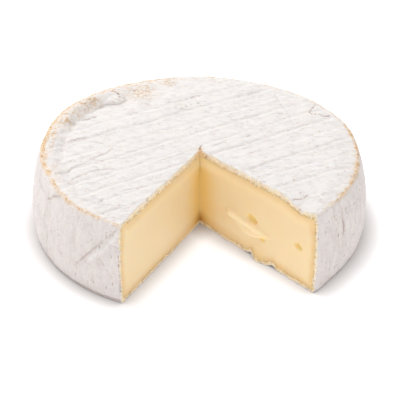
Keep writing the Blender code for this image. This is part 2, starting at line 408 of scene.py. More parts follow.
def top_relief(x, y):
    """The top's relief, how brown it is, and how much of it is the lip's slope, where shade is painted.

    The mat's grooves each have a low bank beside them. Between them lie soft hollows and short ripples
    that run the grooves' way. Creases, dark marks, the lip's slope and the tongue come on top of that.
    """
    places = stacked(x, y)
    wander = MAT_WANDER * noise(places, 14.0, 11)
    relief = HOLLOW_DEPTH * layered(places, 17.0, 2, 12)
    for crossing, slope, strength in MAT_LINES:
        across = leaning(x, y - crossing, math.radians(slope))[1] + wander
        fading = strength * np.clip(0.9 + 0.4 * noise(stacked(x, y, crossing), 18.0, 13), 0.45, 1.2)
        relief -= MAT_DEPTH * fading * hump(across, MAT_GROOVE)
        relief += BANK_RISE * fading * hump(across + BANK_ASIDE, BANK_WIDTH)
    relief += RIPPLE_DEPTH * layered(stacked(*leaning(x, y, MAT_LEAN)), RIPPLE_SIZE, 2, 14)
    brown = np.zeros_like(x)
    wobble = CRACK_WOBBLE * noise(places, 2.4, 15)
    for depth, width, shade_share, line in TOP_CREASES:
        near = hump(to_line(x + wobble, y - wobble, line), CRACK_WIDTH * width)
        relief -= 0.6 * depth * near
        brown = np.maximum(brown, shade_share * near)
    for size, x0, y0 in TOP_SPOTS:
        near = hump(stroke(x, y, x0, y0, MAT_LEAN), 0.6 * size)
        relief -= SPOT_DEPTH * near
        brown = np.maximum(brown, 0.8 * near)
    radius, angle = np.hypot(x, y), np.degrees(np.arctan2(y, x))
    slope = lip_slope(radius, angle)
    relief -= 0.6 * slope**0.5 * (1 - smooth(SLOPE_FOOT, SLOPE_FOOT + 4.0, radius))
    relief += 0.4 * slope * layered(places, 2.6, 2, 17)
    from_tongue = to_line(x, y, TONGUE)
    tongue = np.clip(1 - (from_tongue / TONGUE_WIDTH) ** 2, 0, 1)
    relief += TONGUE_RISE * tongue**0.5
    outline = hump(from_tongue - TONGUE_WIDTH, 0.5) * smooth(-47, -43, x)
    brown = np.maximum(brown, 0.45 * outline)
    # Less painted shade on the slope where the tongue lies over it
    slope = slope * (1 - 0.75 * smooth(0.1, 0.5, tongue))
    return relief, brown, slope


# Creases in the side, as in the top, by length along the foot from +X and height; below 0 a white ridge
SIDE_CRACK_WIDTH = 0.85
SIDE_CREASES = (
    (0.25, 0.6, 0.3, ((237.5, 28), (237, 22), (236.5, 15), (235.5, 8), (235, 3))),
    (0.3, 1.2, 0.0, ((257.5, 28), (257, 18), (256, 6))),
    (-0.8, 1.0, -1.0, ((279.0, 31.6), (275, 26.6), (271, 21.8), (266, 16.5))),
    (0.25, 0.55, 0.6, ((278.8, 34.0), (274, 28.9), (268.5, 22.9), (264, 17.5), (258, 10.5))),
    (0.4, 0.5, 0.8, ((273, 26), (276, 25.2), (278.8, 24.8))),
    (0.2, 0.5, 0.3, ((270, 18.5), (273, 15), (275.5, 11.5))),
    (0.2, 0.6, 0.7, ((278.6, 30.4), (277.5, 29.2), (275.6, 29.4))),
    (0.3, 0.4, 0.7, ((279.6, 33), (279.2, 26), (279.2, 19), (279.2, 12), (279.2, 5))),
    (0.25, 0.55, 0.9, ((233.5, 27), (236, 28.6), (238.6, 31), (241, 32.2), (243.4, 33.4))),
    (0.3, 0.5, 0.4, ((220, 27.5), (226, 28), (233.5, 27))),
    (0.3, 0.6, 0.7, ((377.5, 30), (377, 26), (377.8, 22), (377, 18))),
    (0.2, 0.5, 0.4, ((377.2, 15), (376.8, 12), (376.5, 6))),
    (0.15, 0.9, 0.75, ((200, 1.0), (240, 0.9), (260, 0.9), (279, 0.9))),
    (0.15, 0.9, 0.75, ((365, 0.9), (385, 0.9), (410, 0.9))),
)

# Dark marks on the side: how large, and where
SIDE_SPOTS = (
    (0.7, 270, 22.8), (0.6, 276, 8), (0.6, 273, 5.5), (0.6, 267, 6), (0.6, 257, 5), (0.7, 249, 11),
    (0.6, 240, 7), (0.6, 278.6, 21.5), (0.6, 278.6, 17.5), (0.7, 223, 26.5),
    (0.8, 380, 28.5), (0.6, 368, 28.5), (0.6, 371.5, 29), (0.6, 388, 29.5), (0.6, 388, 26.5), (0.6, 396, 28),
    (0.6, 368, 6.5), (0.6, 372, 5.5), (0.6, 379, 7), (0.6, 365.5, 25), (0.6, 361.5, 24),
)
SIDE_HOLLOWS = 0.2
SIDE_WRINKLES = 0.13
LEFT_SWELLING = 0.5


def side_relief(points, angle, height):
    """The side's relief, and how brown it is, or below 0 how much whiter.

    Soft hollows and wrinkles that run up and down, then creases that fade in places, dark marks, and a
    swelling under the rim at the left.
    """
    around = BASE_RADIUS * np.radians(np.mod(angle, 360))
    around = np.where(around < 150, around + BASE_RADIUS * 2 * math.pi, around)
    wobble = CRACK_WOBBLE * noise(points, 2.4, 21)
    relief = SIDE_HOLLOWS * layered(points, 11.0, 2, 22)
    upright = stacked(around, height + 0.3 * around)
    relief += SIDE_WRINKLES * layered(upright, (1.5, 7.0, 1.0), 2, 23)
    brown = white = np.zeros_like(around)
    fading = np.clip(0.85 + 0.7 * noise(points, 4.0, 24), 0.45, 1.0)
    for depth, width, shade_share, line in SIDE_CREASES:
        near = hump(to_line(around + wobble, height, line), SIDE_CRACK_WIDTH * width)
        relief -= 0.7 * depth * near
        brown = np.maximum(brown, shade_share * near * fading)
        white = np.maximum(white, -shade_share * near)
    for size, middle, level in SIDE_SPOTS:
        near = hump(stroke(around, height, middle, level, math.pi / 2), 0.5 * size)
        relief -= SPOT_DEPTH * near
        brown = np.maximum(brown, 0.9 * near)
    swelling = hump(turn(angle, 200), 14) * smooth(29.0, 31.5, height)
    return relief + LEFT_SWELLING * swelling, brown - white


def quads_of(ids, turned=False):
    """Quads between neighbours of a 2-D array of point numbers. Rows by columns gives the way they face."""
    if turned:
        ids = ids[:, ::-1]
    return np.stack([ids[:-1, :-1], ids[1:, :-1], ids[1:, 1:], ids[:-1, 1:]], axis=-1).reshape(-1, 4)


def without_repeats(quads):
    """Face lists of quads. One with two corners in one place becomes a triangle, an empty one goes."""
    same = quads == np.roll(quads, -1, axis=1)
    crossed = (quads[:, 0] == quads[:, 2]) | (quads[:, 1] == quads[:, 3])
    count = same.sum(axis=1)
    faces = quads[(count == 0) & ~crossed].tolist()
    for corner in range(4):
        thin = quads[(count == 1) & same[:, corner] & ~crossed]
        faces += np.delete(thin, corner, axis=1).tolist()
    return faces


def add_object(name, data):
    """A new object with this data, in the scene."""
    thing = bpy.data.objects.new(name, data)
    bpy.context.scene.collection.objects.link(thing)
    return thing


class Shell:
    """Grids of points with marks on them, sewn into one closed mesh."""

    def __init__(self, names):
        self.points = []
        self.marks = {name: [] for name in names}
        self.quads = [np.zeros((0, 4), int)]
        self.triangles = []
        self.count = 0

    def add(self, points, **marks):
        """Stores a grid of points and gives the numbers they get. A mark that isn't given is 0."""
        shape = points.shape[:-1]
        ids = self.count + np.arange(math.prod(shape)).reshape(shape)
        self.points.append(points.reshape(-1, 3))
        for name, parts in self.marks.items():
            parts.append(np.broadcast_to(marks.get(name, 0.0), shape).ravel())
        self.count += math.prod(shape)
        return ids

    def sew(self, ids, turned=False):
        self.quads.append(quads_of(ids, turned))

    def build(self, name, material):
        """The mesh object, without the points that no face uses."""
        faces = without_repeats(np.concatenate(self.quads)) + self.triangles
        used = np.zeros(self.count, bool)
        used[np.fromiter(itertools.chain.from_iterable(faces), int)] = True
        number = np.cumsum(used) - 1
        faces = [[int(number[corner]) for corner in face] for face in faces]
        points = (np.concatenate(self.points)[used] + AXIS) * MM
        mesh = bpy.data.meshes.new(name)
        mesh.from_pydata(points.tolist(), [], faces)
        for mark, parts in self.marks.items():
            attribute = mesh.attributes.new(mark, "FLOAT", "POINT")
            attribute.data.foreach_set("value", np.concatenate(parts)[used].astype(np.float32))
        mesh.update()
        mesh.shade_smooth()
        mesh.materials.append(material)
        piece = add_object(name, mesh)
        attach(piece, "root")
        return piece


def spread_columns():
    """Shares round the wheel: close together beside both cuts, and wider between."""
    even = np.linspace(0, 1, COLUMNS + 1)
    return even - COLUMN_PULL / (2 * math.pi) * np.sin(2 * math.pi * even)


def top_rind(out, around):
    """How deep the rind is under the top: thin at the left corner, where the paste nearly meets the edge."""
    return mix(TOP_RIND, TOP_RIND_AT_LEFT_CORNER, smooth(0.91, 0.96, out) * smooth(0.6, 1.0, around))


def rind_depths(around):
    """The rind's depth for every row of the outline at each share of the way round."""
    top, rim, flank, foot, base = row_shares()
    depths = [
        top_rind(top[:, None], around),
        np.full((len(rim) + len(flank), len(around)), SIDE_RIND),
        np.full((len(foot) + len(base), len(around)), BASE_RIND),
    ]
    return np.concatenate(depths)


# Mottled places on the field, behind the wheel's middle: where, and how far they reach
MOTTLED_PLACES = (
    (-25, 47.5, 5.5), (-13, 55, 3.0), (-44.7, 36.8, 2.8),
    (-47.7, 32.5, 2.5), (-52.0, 27.0, 3.0), (-54.6, 21.0, 2.6),
)

# The rim's lean at the far left, and the nick in the right cut's upper edge
LEFT_LEAN = 0.7
NICK_RADIUS = 58.6
NICK_DEPTH = 0.8

# The cuts turn ragged between these distances from the axis
AXIS_FADE = (0.5, 3.0)

# The skin's relief: fine, at the rim and how much more at the right, and at the cuts aside and up
FINE_RELIEF = 0.07
RIM_RELIEF = 0.2
RIM_RELIEF_RIGHT = 0.4
CUT_RELIEF = 0.5
CUT_RELIEF_UP = 0.3
TOP_RELIEF_AT_RIM = 0.25

# What the rind's points are marked with, all as shares; slope says where shade is painted on the lip's inner
# slope
RIND_MARKS = ("tan", "patches", "brown", "slope", "side", "cut", "deep")


def rim_mark(points, angle, radius, height):
    """How orange the rind is: a thin broken line all round the rim, and patches at the back left."""
    rim = side_radius(angle, 1.0)
    off = np.hypot(rim + 0.2 - radius, HEIGHT - 0.4 - height)
    off = np.where(height > HEIGHT - 0.6, rim - 0.3 - radius, off)
    right = hump(turn(angle, -5), 45)
    thick = 0.9 + 0.3 * right + 0.4 * hump(turn(angle, 168), 22) + 0.6 * noise(points, 3.5, 35)
    line = hump(off, np.maximum(thick, 0.35)) * (1.4 + 0.2 * right - 0.5 * hump(turn(angle, 135), 25))
    near_top = smooth(HEIGHT - 2.5, HEIGHT - 1.0, height)
    wide = hump(turn(angle, 145), 40) * (1 - smooth(2.0, 6.0, off)) * near_top
    patches = smooth(-0.6, 0.2, noise(points, 4.0, 36)) * np.minimum(0.8, 1.3 * wide)
    for x, y, size in MOTTLED_PLACES:
        near = np.hypot(points[..., 0] - x, points[..., 1] - y)
        patches = np.maximum(patches, 0.85 * hump(near, size) * near_top)
    return line, patches


def skin():
    """The rind's outer face and its marks: the outline, then relief along the way that each row faces."""
    columns = spread_columns()
    radius, height, angle = section(columns, 0 * rind_depths(columns), (RIM_ROUND, FOOT_ROUND))
    points = to_points(radius, height, angle)
    x, y, _ = np.moveaxis(points, -1, 0)
    upward = facing()
    on_top = smooth(0.0, 1.0, np.sin(upward))
    on_base = smooth(0.0, 1.0, -np.sin(upward))
    on_side = (1 - on_top) * (1 - on_base)
    near_rim, patches = rim_mark(points, angle, radius, height)
    top, brown_top, slope = top_relief(x, y)
    side, brown_side = side_relief(points, angle, height)
    to_rim = side_radius(angle, 1.0) - radius
    top = top * mix(TOP_RELIEF_AT_RIM, 1.0, smooth(0.8, 4.5, to_rim))
    relief = top * on_top * smooth(1.0, 6.0, radius) + side * on_side
    relief += FINE_RELIEF * layered(points, 2.6, 2, 32) * (1 - on_base)
    rough = RIM_RELIEF + RIM_RELIEF_RIGHT * hump(turn(angle, -5), 45)
    relief += rough * layered(points, 2.4, 2, 33) * near_rim
    points = points + to_points(np.cos(upward), np.sin(upward), angle) * relief[..., None]
    off_axis = smooth(*AXIS_FADE, radius)
    for cut in (0, 1):
        from_cut = radius * np.radians(abs(angle - cut_angle(cut, height)))
        forward = forward_form(cut, radius, height) * hump(from_cut, 4.0)
        along = stacked(radius, height, 70.0 * cut)
        ragged = CUT_RELIEF * layered(along, 2.2, 2, 37) * hump(from_cut, 1.3) * off_axis
        points = points + (forward + ragged)[..., None] * cut_normal(cut)
        uneven = CUT_RELIEF_UP * layered(along, 2.0, 2, 38) * hump(from_cut, 1.6)
        points[..., 2] += uneven * on_top * off_axis
    points[..., 0] -= LEFT_LEAN * hump(turn(angle, 180), 24) * smooth(48.0, 60.0, radius)
    nick = hump(radius - NICK_RADIUS, 1.3) * hump(radius * np.radians(angle - RIGHT_CUT_TOP), 1.6)
    points[..., 2] -= NICK_DEPTH * nick * on_top
    points[..., 2] = np.maximum(points[..., 2], 0.0)
    tan = np.maximum(near_rim, hump(radius, 1.3) * on_top)
    brown = brown_top * on_top + brown_side * on_side
    # slope says where shade is painted on the lip's inner slope, which faces away from the light
    return points, dict(tan=tan, patches=patches, brown=brown, slope=slope * on_top, side=on_side)


def make_rind(material):
    """The rind as one closed shell: skin, hidden inner face, and at each cut a strip that joins them."""
    shell = Shell(RIND_MARKS)
    outer, marks = skin()
    hidden = np.linspace(0, 1, HIDDEN_COLUMNS + 1)
    inner = to_points(*section(hidden, rind_depths(hidden), (INNER_ROUND, INNER_ROUND)))
    strips = []
    for side, column in ((0, 0), (1, -1)):
        edge, deep = outer[:, column], inner[:, column].copy()
        radius = np.hypot(deep[:, 0], deep[:, 1])
        deep += forward_form(side, radius, deep[:, 2])[:, None] * cut_normal(side)
        way = deep - edge
        way /= np.linalg.norm(way, axis=1, keepdims=True)
        off_axis = smooth(*AXIS_FADE, radius)
        ragged = 0.55 * layered(stacked(radius, deep[:, 2], 50.0 * side), 2.2, 3, 41) * off_axis
        inner[:, column] = deep + way * ragged[:, None]
        shares = np.linspace(0, 1, STRIP_CELLS + 1)[1:-1]
        strip = mix(edge[:, None], inner[:, column][:, None], shares[None, :, None])
        rough = 0.3 * layered(strip, 1.8, 3, 42) * off_axis[:, None]
        worn = np.clip(0.8 * hump(radius, 3.5) + 0.4 * (1 - smooth(2.0, 3.0, deep[:, 2])), 0, 1)[:, None]
        strips.append((shares + (1 - shares) * worn, strip + rough[..., None] * cut_normal(side)))
    skin_ids = shell.add(outer, **marks)
    inner_ids = shell.add(inner, cut=1.0, deep=1.0)
    for ids in (skin_ids, inner_ids):
        ids[0], ids[-1] = ids[0, 0], ids[-1, 0]
    shell.sew(skin_ids)
    shell.sew(inner_ids, turned=True)
    strip_ids = [shell.add(strip, cut=1.0, deep=shares) for shares, strip in strips]
    for ids, column in zip(strip_ids, (0, -1)):
        ids[0], ids[-1] = strip_ids[0][0], strip_ids[0][-1]
        across = np.concatenate([skin_ids[:, [column]], ids, inner_ids[:, [column]]], axis=1)
        shell.sew(across, turned=column == 0)
    return shell.build("rind", material)


# The paste's cut faces, divided evenly outwards and upwards, and its hidden back inside the rind
PASTE_OUT = 190
PASTE_UP = 98
EDGE_STEP = 0.08
BULGE = 0.3
BULGE_AT_AXIS = 0.4
DRAG = 0.14
FINE_DRAG = 0.03
AMBER_WIDTH = 3.6
BASE_AMBER_REACH = 34
# How far from the axis the painted highlight under the rind stays strongest
HIGHLIGHT_REACH = 16
CORNER_REACH = 0.4


def paste_place(out, up, around):
    """Where the paste is at its shares of the way out, up and round: its radius, height and angle.

    The outline is moved in by the rind, less an overlap that the rind hides. Also returns how far each
    place is below the rind's inner edge at the top, and how far from the nearest of its inner edges.
    """
    over = angle_at(up, around)
    reach = side_radius(over, np.clip(up, 0.03, 0.97)) - SIDE_RIND
    radius = out * (reach + SIDE_OVERLAP)
    hidden = np.clip(25 * around * (1 - around), 0, 1)
    top = top_level(radius, over, out) - mix(top_rind(out, around), TOP_RIND + OVERLAP, hidden)
    sunk = hump(radius - LOBE_RADIUS, LOBE_REACH) * hump(radius * np.radians(over - RIGHT_CUT_BASE), 3.0)
    bottom = base_level(radius, over) + BASE_RIND - LOBE_SINK * sunk
    height = mix(bottom - OVERLAP, top + OVERLAP, up)
    under_top = top - height
    inside = np.minimum(np.minimum(under_top, height - bottom), reach - radius)
    return radius, height, over, under_top, inside


def rounded_corner(radius, height, side, room):
    """The cut face's points and the way it faces, with the inner corner as an arc that touches both faces.

    With h half the gap's angle and t the reach, the arc's radius is t tan h and its centre lies that over
    sin h from the axis, out along the gap's middle. Room fades the arc out where the rind needs the place.
    """
    right, left = cut_angles(np.clip(height / HEIGHT, 0, 1))
    left = left - 360
    half = np.radians(right - left) / 2
    middle = np.radians(right + left) / 2
    reach = CORNER_REACH * smooth(-0.1, 2.0, room) + 0.01
    bend = (math.pi / 2 - half) * np.clip(radius / reach, 0, 1)
    faces = middle + (bend if side else -bend)
    arc = reach * np.tan(half)
    way = stacked(np.cos(faces), np.sin(faces))
    centre = (arc / np.sin(half))[..., None] * stacked(np.cos(middle), np.sin(middle))
    round_points = centre - arc[..., None] * way
    round_points[..., 2] = height
    flat_points = to_points(radius, height, left if side else right)
    near = (radius < reach)[..., None]
    return np.where(near, round_points, flat_points), np.where(near, way, cut_normal(side))


# The tear on the right face, outwards from the axis: the ridge along its top, and its ragged lower lip
TEAR_RIDGE = ((17, 14.6), (20.7, 14.1), (24.1, 13.8), (27.1, 13.1), (30.6, 12.9), (36.2, 12.6), (43, 12.2))
TEAR_LOWER = (
    (16.2, 13.5), (18.9, 12.8), (22.1, 11.9), (24.9, 10.7), (26.8, 9.3), (29.4, 8.5), (32, 8.7), (34.9, 9.6),
    (38.2, 10.9), (43, 11.5),
)
TEAR_RISE = 1.4
RIDGE_RISE = 1.0
RIDGE_WIDTH = 0.9

# The holes in the right face: distance from the axis, height, half width, half height, depth and lean
HOLES = (
    (30.4, 16.0, 3.4, 2.4, 1.5, -0.15),
    (57.0, 15.7, 2.5, 1.7, 1.1, -0.15),
    (37.2, 9.6, 1.8, 1.0, 0.3, 0.2),
)


def tear_relief(radius, height):
    """A flap with a rounded ridge along its top, which stands out most at its sharp lower lip, and a painted
    highlight on the flap, brightest along the ridge.
    """
    ridge = np.interp(radius, *zip(*TEAR_RIDGE))
    lower = np.interp(radius, *zip(*TEAR_LOWER))
    lower = lower + 0.5 * layered(stacked(radius), 3.6, 2, 61)
    top = ridge + RIDGE_WIDTH
    share = np.clip((top - height) / np.maximum(top - lower, 0.3), -1, 2)
    ends = smooth(15.2, 19.5, radius) * (1 - smooth(33.0, 44.0, radius))
    flap = smooth(-0.1, 0.8, share) * (1 - smooth(0.88, 1.0, share))
    crest = hump(height - ridge, RIDGE_WIDTH)
    pale = np.maximum(0.6 * smooth(-0.1, 0.3, share) * (1 - smooth(0.9, 1.02, share)), crest)
    return (TEAR_RISE * flap + RIDGE_RISE * crest) * ends, pale * ends


def hole_relief(radius, height, middle, level, wide, high, lean):
    """How deep each place lies in an egg-shaped pit, as a share: steep above, and sloping below."""
    across, along = leaning(radius - middle, height - level, lean)
    share = np.hypot(across / wide, along / high)
    upper = (across / wide + along / high) / (share + 0.1) / math.sqrt(2)
    return 1 - smooth(0.55 + 0.25 * upper, 1.0 + 0.05 * upper, share)


def paste_relief(side, radius, height, under_top, inside):
    """How far the paste stands forward of the cut, and the painted light there: above 0 a painted highlight
    on the tear, below 0 painted shade in the holes.

    It lies back where it goes under the rind, swells a little below it and carries the knife's faint drag.
    The right face also has the tear and the holes.
    """
    relief = -EDGE_STEP * (1 - smooth(-0.35, 0.3, inside))
    swelling = BULGE + BULGE_AT_AXIS * hump(radius, 14.0)
    relief += swelling * smooth(0.6, 3.2, under_top) * hump(np.maximum(0, under_top - 3.4), 4.5)
    places = stacked(radius, height, 30.0 * side)
    drag = DRAG * layered(places, 12.0, 2, 51) + FINE_DRAG * layered(places, (1.6, 9.0, 1.0), 2, 52)
    relief += drag * smooth(0.0, 4.0, radius)
    relief += forward_form(side, radius, height)
    pale = np.zeros_like(radius)
    if side == 0:
        tear, pale = tear_relief(radius, height)
        relief += tear
        for middle, level, wide, high, depth, lean in HOLES:
            pit = hole_relief(radius, height, middle, level, wide, high, lean)
            relief -= depth * pit
            # Painted shade in the pits: a deeper gold
            pale -= pit**0.6
    return relief, pale


def make_paste(material):
    """The paste as one closed body: two fine cut faces that share the axis, and a plain hidden back."""
    shell = Shell(("inner", "glow", "amber", "pale", "low"))
    out = np.linspace(0, 1, PASTE_OUT + 1)[None, :]
    up = np.linspace(0, 1, PASTE_UP + 1)[:, None]
    borders = []
    axis_ids = None
    for side in (0, 1):
        radius, height, over, under_top, inside = paste_place(out, up, float(side))
        relief, pale = paste_relief(side, radius, height, under_top, inside)
        room = np.broadcast_to(inside[:, [0]], radius.shape)
        points, way = rounded_corner(radius, height, side, room)
        points = points + relief[..., None] * way
        wander = 0.6 * layered(stacked(radius, height, 40.0 * side), 5.0, 2, 53)
        wander -= 1.2 * hump(radius, 7.0) * smooth(8.0, 2.0, under_top)
        amber = 1 - smooth(0.0, AMBER_WIDTH, inside + wander)
        at_base = (1 - smooth(1.5, 6.0, under_top[0] - under_top)) * hump(radius, BASE_AMBER_REACH)
        amber = np.maximum(amber, at_base)
        # Painted shade: deeper gold in the inner corner where the two faces meet, fading out by 13 mm from
        # the axis
        inner = 1 - smooth(1.0, 13.0, radius)
        # A painted highlight on the paste's bulge just under the rind, strongest near the axis
        glow = mix(0.35, 1.0, hump(radius, HIGHLIGHT_REACH))
        glow *= smooth(-0.4, 0.6, under_top) * (1 - smooth(2.5, 6.0, under_top))
        # Painted shade: dark brown orange at the foot of the inner corner
        low = hump(radius, 4.0) * (1 - smooth(1.0, 8.0, height))
        ids = shell.add(points, inner=inner, glow=glow, amber=amber, pale=pale, low=low)
        axis_ids = ids[:, 0].copy() if axis_ids is None else axis_ids
        ids[:, 0] = axis_ids
        shell.sew(ids, turned=side == 0)
        borders.append(np.concatenate([ids[-1, :-1], ids[::-1, -1], ids[0, -2::-1]]))
    border_out = np.concatenate([out[0, :-1], np.ones(PASTE_UP + 1), out[0, -2::-1]])[:, None]
    border_up = np.concatenate([np.ones(PASTE_OUT), up[::-1, 0], np.zeros(PASTE_OUT)])[:, None]
    hidden = np.linspace(0, 1, HIDDEN_COLUMNS + 1)[None, 1:-1]
    radius, height, over, _, _ = paste_place(border_out, border_up, hidden)
    back = shell.add(to_points(radius, height, over))
    across = np.concatenate([borders[0][:, None], back, borders[1][:, None]], axis=1)
    across[0], across[-1] = axis_ids[-1], axis_ids[0]
    shell.sew(across)
    return shell.build("paste", material)


# Crumbs that the knife left on the cut rind: how many at each cut, half their sizes, how far forward
CRUMBS = 190
CRUMB_SIZES = (0.16, 0.5)
CRUMB_FORWARD = 0.1


def crumb_places(side, draw):
    """Random places on a cut's strip of rind, and how deep in the strip each one lies, as a share."""
    columns = np.array([0.0, 1.0])
    edges = []
    for depths in (0.0, 1.0):
        outline = to_points(*section(columns, depths * rind_depths(columns), (RIM_ROUND, FOOT_ROUND)))
        edges.append(outline[:, side])
    row = draw.integers(4, len(edges[0]) - 8, CRUMBS)
    deep = draw.uniform(-0.05, 1.0, CRUMBS)[:, None]
    places = mix(edges[0][row], edges[1][row], deep)
    places[:, 2] = np.maximum(places[:, 2], 1.2 * CRUMB_SIZES[1])
    radius = np.hypot(places[:, 0], places[:, 1])
    forward = forward_form(side, radius, places[:, 2]) + CRUMB_FORWARD
    return places + forward[:, None] * cut_normal(side), deep[:, 0]


def make_crumbs(material):
    """The crumbs as one mesh: each is an icosahedron, stretched and turned at random."""
    draw = np.random.default_rng(71)
    golden = (1 + math.sqrt(5)) / 2
    oblong = [(0, s, t * golden) for s in (-1, 1) for t in (-1, 1)]
    corners = np.array([place[k:] + place[:k] for k in range(3) for place in oblong]) / math.hypot(1, golden)
    trios = np.array(list(itertools.combinations(range(12), 3)))
    spans = np.linalg.norm(corners[trios] - corners[np.roll(trios, 1, axis=1)], axis=-1)
    faces = trios[(spans < 1.1).all(axis=1)]
    first, second, third = (corners[faces[:, k]] for k in range(3))
    outward = (np.cross(second - first, third - first) * first).sum(axis=1) > 0
    faces[~outward] = faces[~outward][:, ::-1]
    points, deeps = [], []
    for side in (0, 1):
        places, deep = crumb_places(side, draw)
        size = draw.uniform(*CRUMB_SIZES, CRUMBS)[:, None] * draw.uniform(0.6, 1.2, (CRUMBS, 3))
        twist, _ = np.linalg.qr(draw.normal(size=(CRUMBS, 3, 3)))
        twist *= np.sign(np.linalg.det(twist))[:, None, None]
        lumps = np.einsum("nij,nkj->nki", twist, corners[None] * size[:, None])
        points.append((lumps + places[:, None]).reshape(-1, 3))
        deeps.append(np.repeat(deep, 12))
    shell = Shell(RIND_MARKS)
    shell.add(np.concatenate(points), cut=1.0, deep=0.4 * np.concatenate(deeps))
    first_corners = 12 * np.arange(2 * CRUMBS)[:, None, None]
    shell.triangles = (faces[None] + first_corners).reshape(-1, 3).tolist()
    return shell.build("crumbs", material)


def shade(*screen):
    """A colour given as 0 to 255 on screen, as the linear light that the shaders take."""
    values = np.array(screen) / 255
    linear = np.where(values <= 0.04045, values / 12.92, ((values + 0.055) / 1.055) ** 2.4)
    return (*linear.tolist(), 1.0)


class Look:
    """A material put together from nodes: most methods add a node and give its output."""

    def __init__(self, name):
        self.material = bpy.data.materials.new(name)
        self.material.use_nodes = True
        self.tree = self.material.node_tree
        self.shader = self.tree.nodes["Principled BSDF"]
        self.places = self.add("ShaderNodeTexCoord").outputs["Object"]

    def add(self, kind, inputs=(), **settings):
        node = self.tree.nodes.new(kind)
        for name, value in settings.items():
            setattr(node, name, value)
        for name, value in dict(inputs).items():
            self.set(node.inputs[name], value)
        return node

    def set(self, socket, value):
        if isinstance(value, bpy.types.NodeSocket):
            self.tree.links.new(value, socket)
        else:
            socket.default_value = value

    def finish(self, **inputs):
        """Sets the shader's inputs, named with underscores for spaces."""
        for name, value in inputs.items():
            self.set(self.shader.inputs[name.replace("_", " ")], value)
        return self.material

    def mark(self, name):
        return self.add("ShaderNodeAttribute", attribute_name=name).outputs["Fac"]

    def grain(self, lumps, detail=3.0, roughness=0.55, stretch=None):
        """Noise from 0 to 1 whose lumps are this many millimetres across."""
        places = self.places
        if stretch:
            places = self.add("ShaderNodeMapping", {"Vector": places, **stretch}).outputs["Vector"]
        inputs = {"Vector": places, "Scale": 1 / (lumps * MM), "Detail": detail, "Roughness": roughness}
        return self.add("ShaderNodeTexNoise", inputs).outputs["Fac"]

    def step(self, value, low, high, to_low=0.0, to_high=1.0):
        """The value rescaled from low..high to to_low..to_high, and held between them."""
        inputs = enumerate((value, low, high, to_low, to_high))
        return self.add("ShaderNodeMapRange", inputs, interpolation_type="SMOOTHSTEP").outputs[0]

    def flecks(self, low, high, *grain):
        """Grain of which only the high parts are left: 0 below low and 1 above high."""
        return self.step(self.grain(*grain), low, high)

    def calculate(self, operation, first, second=0.0):
        return self.add("ShaderNodeMath", {0: first, 1: second}, operation=operation).outputs[0]

    def times(self, first, second):
        return self.calculate("MULTIPLY", first, second)

    def blend(self, share, first, second):
        return self.add("ShaderNodeMix", {0: share, 6: first, 7: second}, data_type="RGBA").outputs[2]

    def coats(self, colour, *layers):
        """Tints laid over the colour in turn: each has its share, its strength and its tint."""
        for share, strength, tint in layers:
            colour = self.blend(self.times(share, strength), colour, tint)
        return colour

    def bump(self, height, distance, strength=1.0, over=None):
        inputs = {"Height": height, "Distance": distance * MM, "Strength": strength}
        if over is not None:
            inputs["Normal"] = over
        return self.add("ShaderNodeBump", inputs).outputs["Normal"]


# Colours of the mould, of the cut rind and of the paste, and the painted shade and highlights laid over them
RIND_WHITE = shade(237, 233, 230)
RIND_GREY = shade(224, 218, 214)
RIND_PINK = shade(216, 203, 200)
# Painted shade for the lip's inner slope and the thin wrinkle lines
RIND_SHADE = shade(220, 213, 211)
RIND_TAN = shade(232, 204, 168)
RIND_ORANGE = shade(196, 152, 110)
RIND_MARK = shade(206, 190, 181)
RIND_BROWN = shade(150, 116, 92)
CUT_BEIGE = shade(255, 241, 216)
CUT_PINK = shade(246, 226, 210)
CUT_AMBER = shade(252, 220, 168)
PASTE_CREAM = shade(241, 218, 176)
PASTE_AMBER = shade(234, 199, 144)
# Painted shade and highlights on the paste: the inner corner and its foot, the bulge under the rind, the
# tear and the holes
PASTE_CORNER_SHADE = shade(243, 207, 116)
PASTE_CORNER_FOOT_SHADE = shade(190, 122, 32)
PASTE_TEAR_HIGHLIGHT = shade(255, 233, 196)
PASTE_HIGHLIGHT = shade(255, 226, 180)
PASTE_PIT_SHADE = shade(246, 216, 140)


def mould_colour(look, side, along, shaded_wrinkle):
    """White, mottled grey and pink, with painted shade on the lip's slope and in thin wrinkles, dashes along
    the mat's lines, specks and streaks.
    """
    pink = look.flecks(0.4, 0.66, 2.0, 5.0, 0.65, {"Scale": (1.0, 1.0, 0.3)})
    streak = look.flecks(0.6, 0.7, 0.9, 4.0, 0.65, {"Scale": (1.0, 1.0, 0.25)})
    few = look.step(look.grain(6.0, 2.0), 0.42, 0.62, 0.1, 0.8)
    dashed = look.step(look.grain(8.0, 2.0), 0.42, 0.6, 0.1, 0.8)
    group = look.times(look.flecks(0.48, 0.62, 7.0, 2.0), 0.5)
    return look.coats(
        RIND_WHITE,
        (side, 0.35, RIND_PINK),
        (look.flecks(0.38, 0.66, 2.2, 5.0, 0.65, along), 0.17, RIND_GREY),
        (pink, look.calculate("ADD", look.times(side, 0.3), 0.14), RIND_PINK),
        # Painted shade: grey pink on the lip's inner slope, which faces away from the light
        (look.mark("slope"), 0.35, RIND_SHADE),
        # Painted shade in the thin wrinkle lines
        (shaded_wrinkle, 0.4, RIND_SHADE),
        (look.flecks(0.58, 0.68, 0.9, 3.0, 0.6, along), dashed, RIND_MARK),
        (look.flecks(0.64, 0.72, 0.8, 3.0, 0.6), group, RIND_BROWN),
        (look.times(streak, few), side, RIND_BROWN),
    )


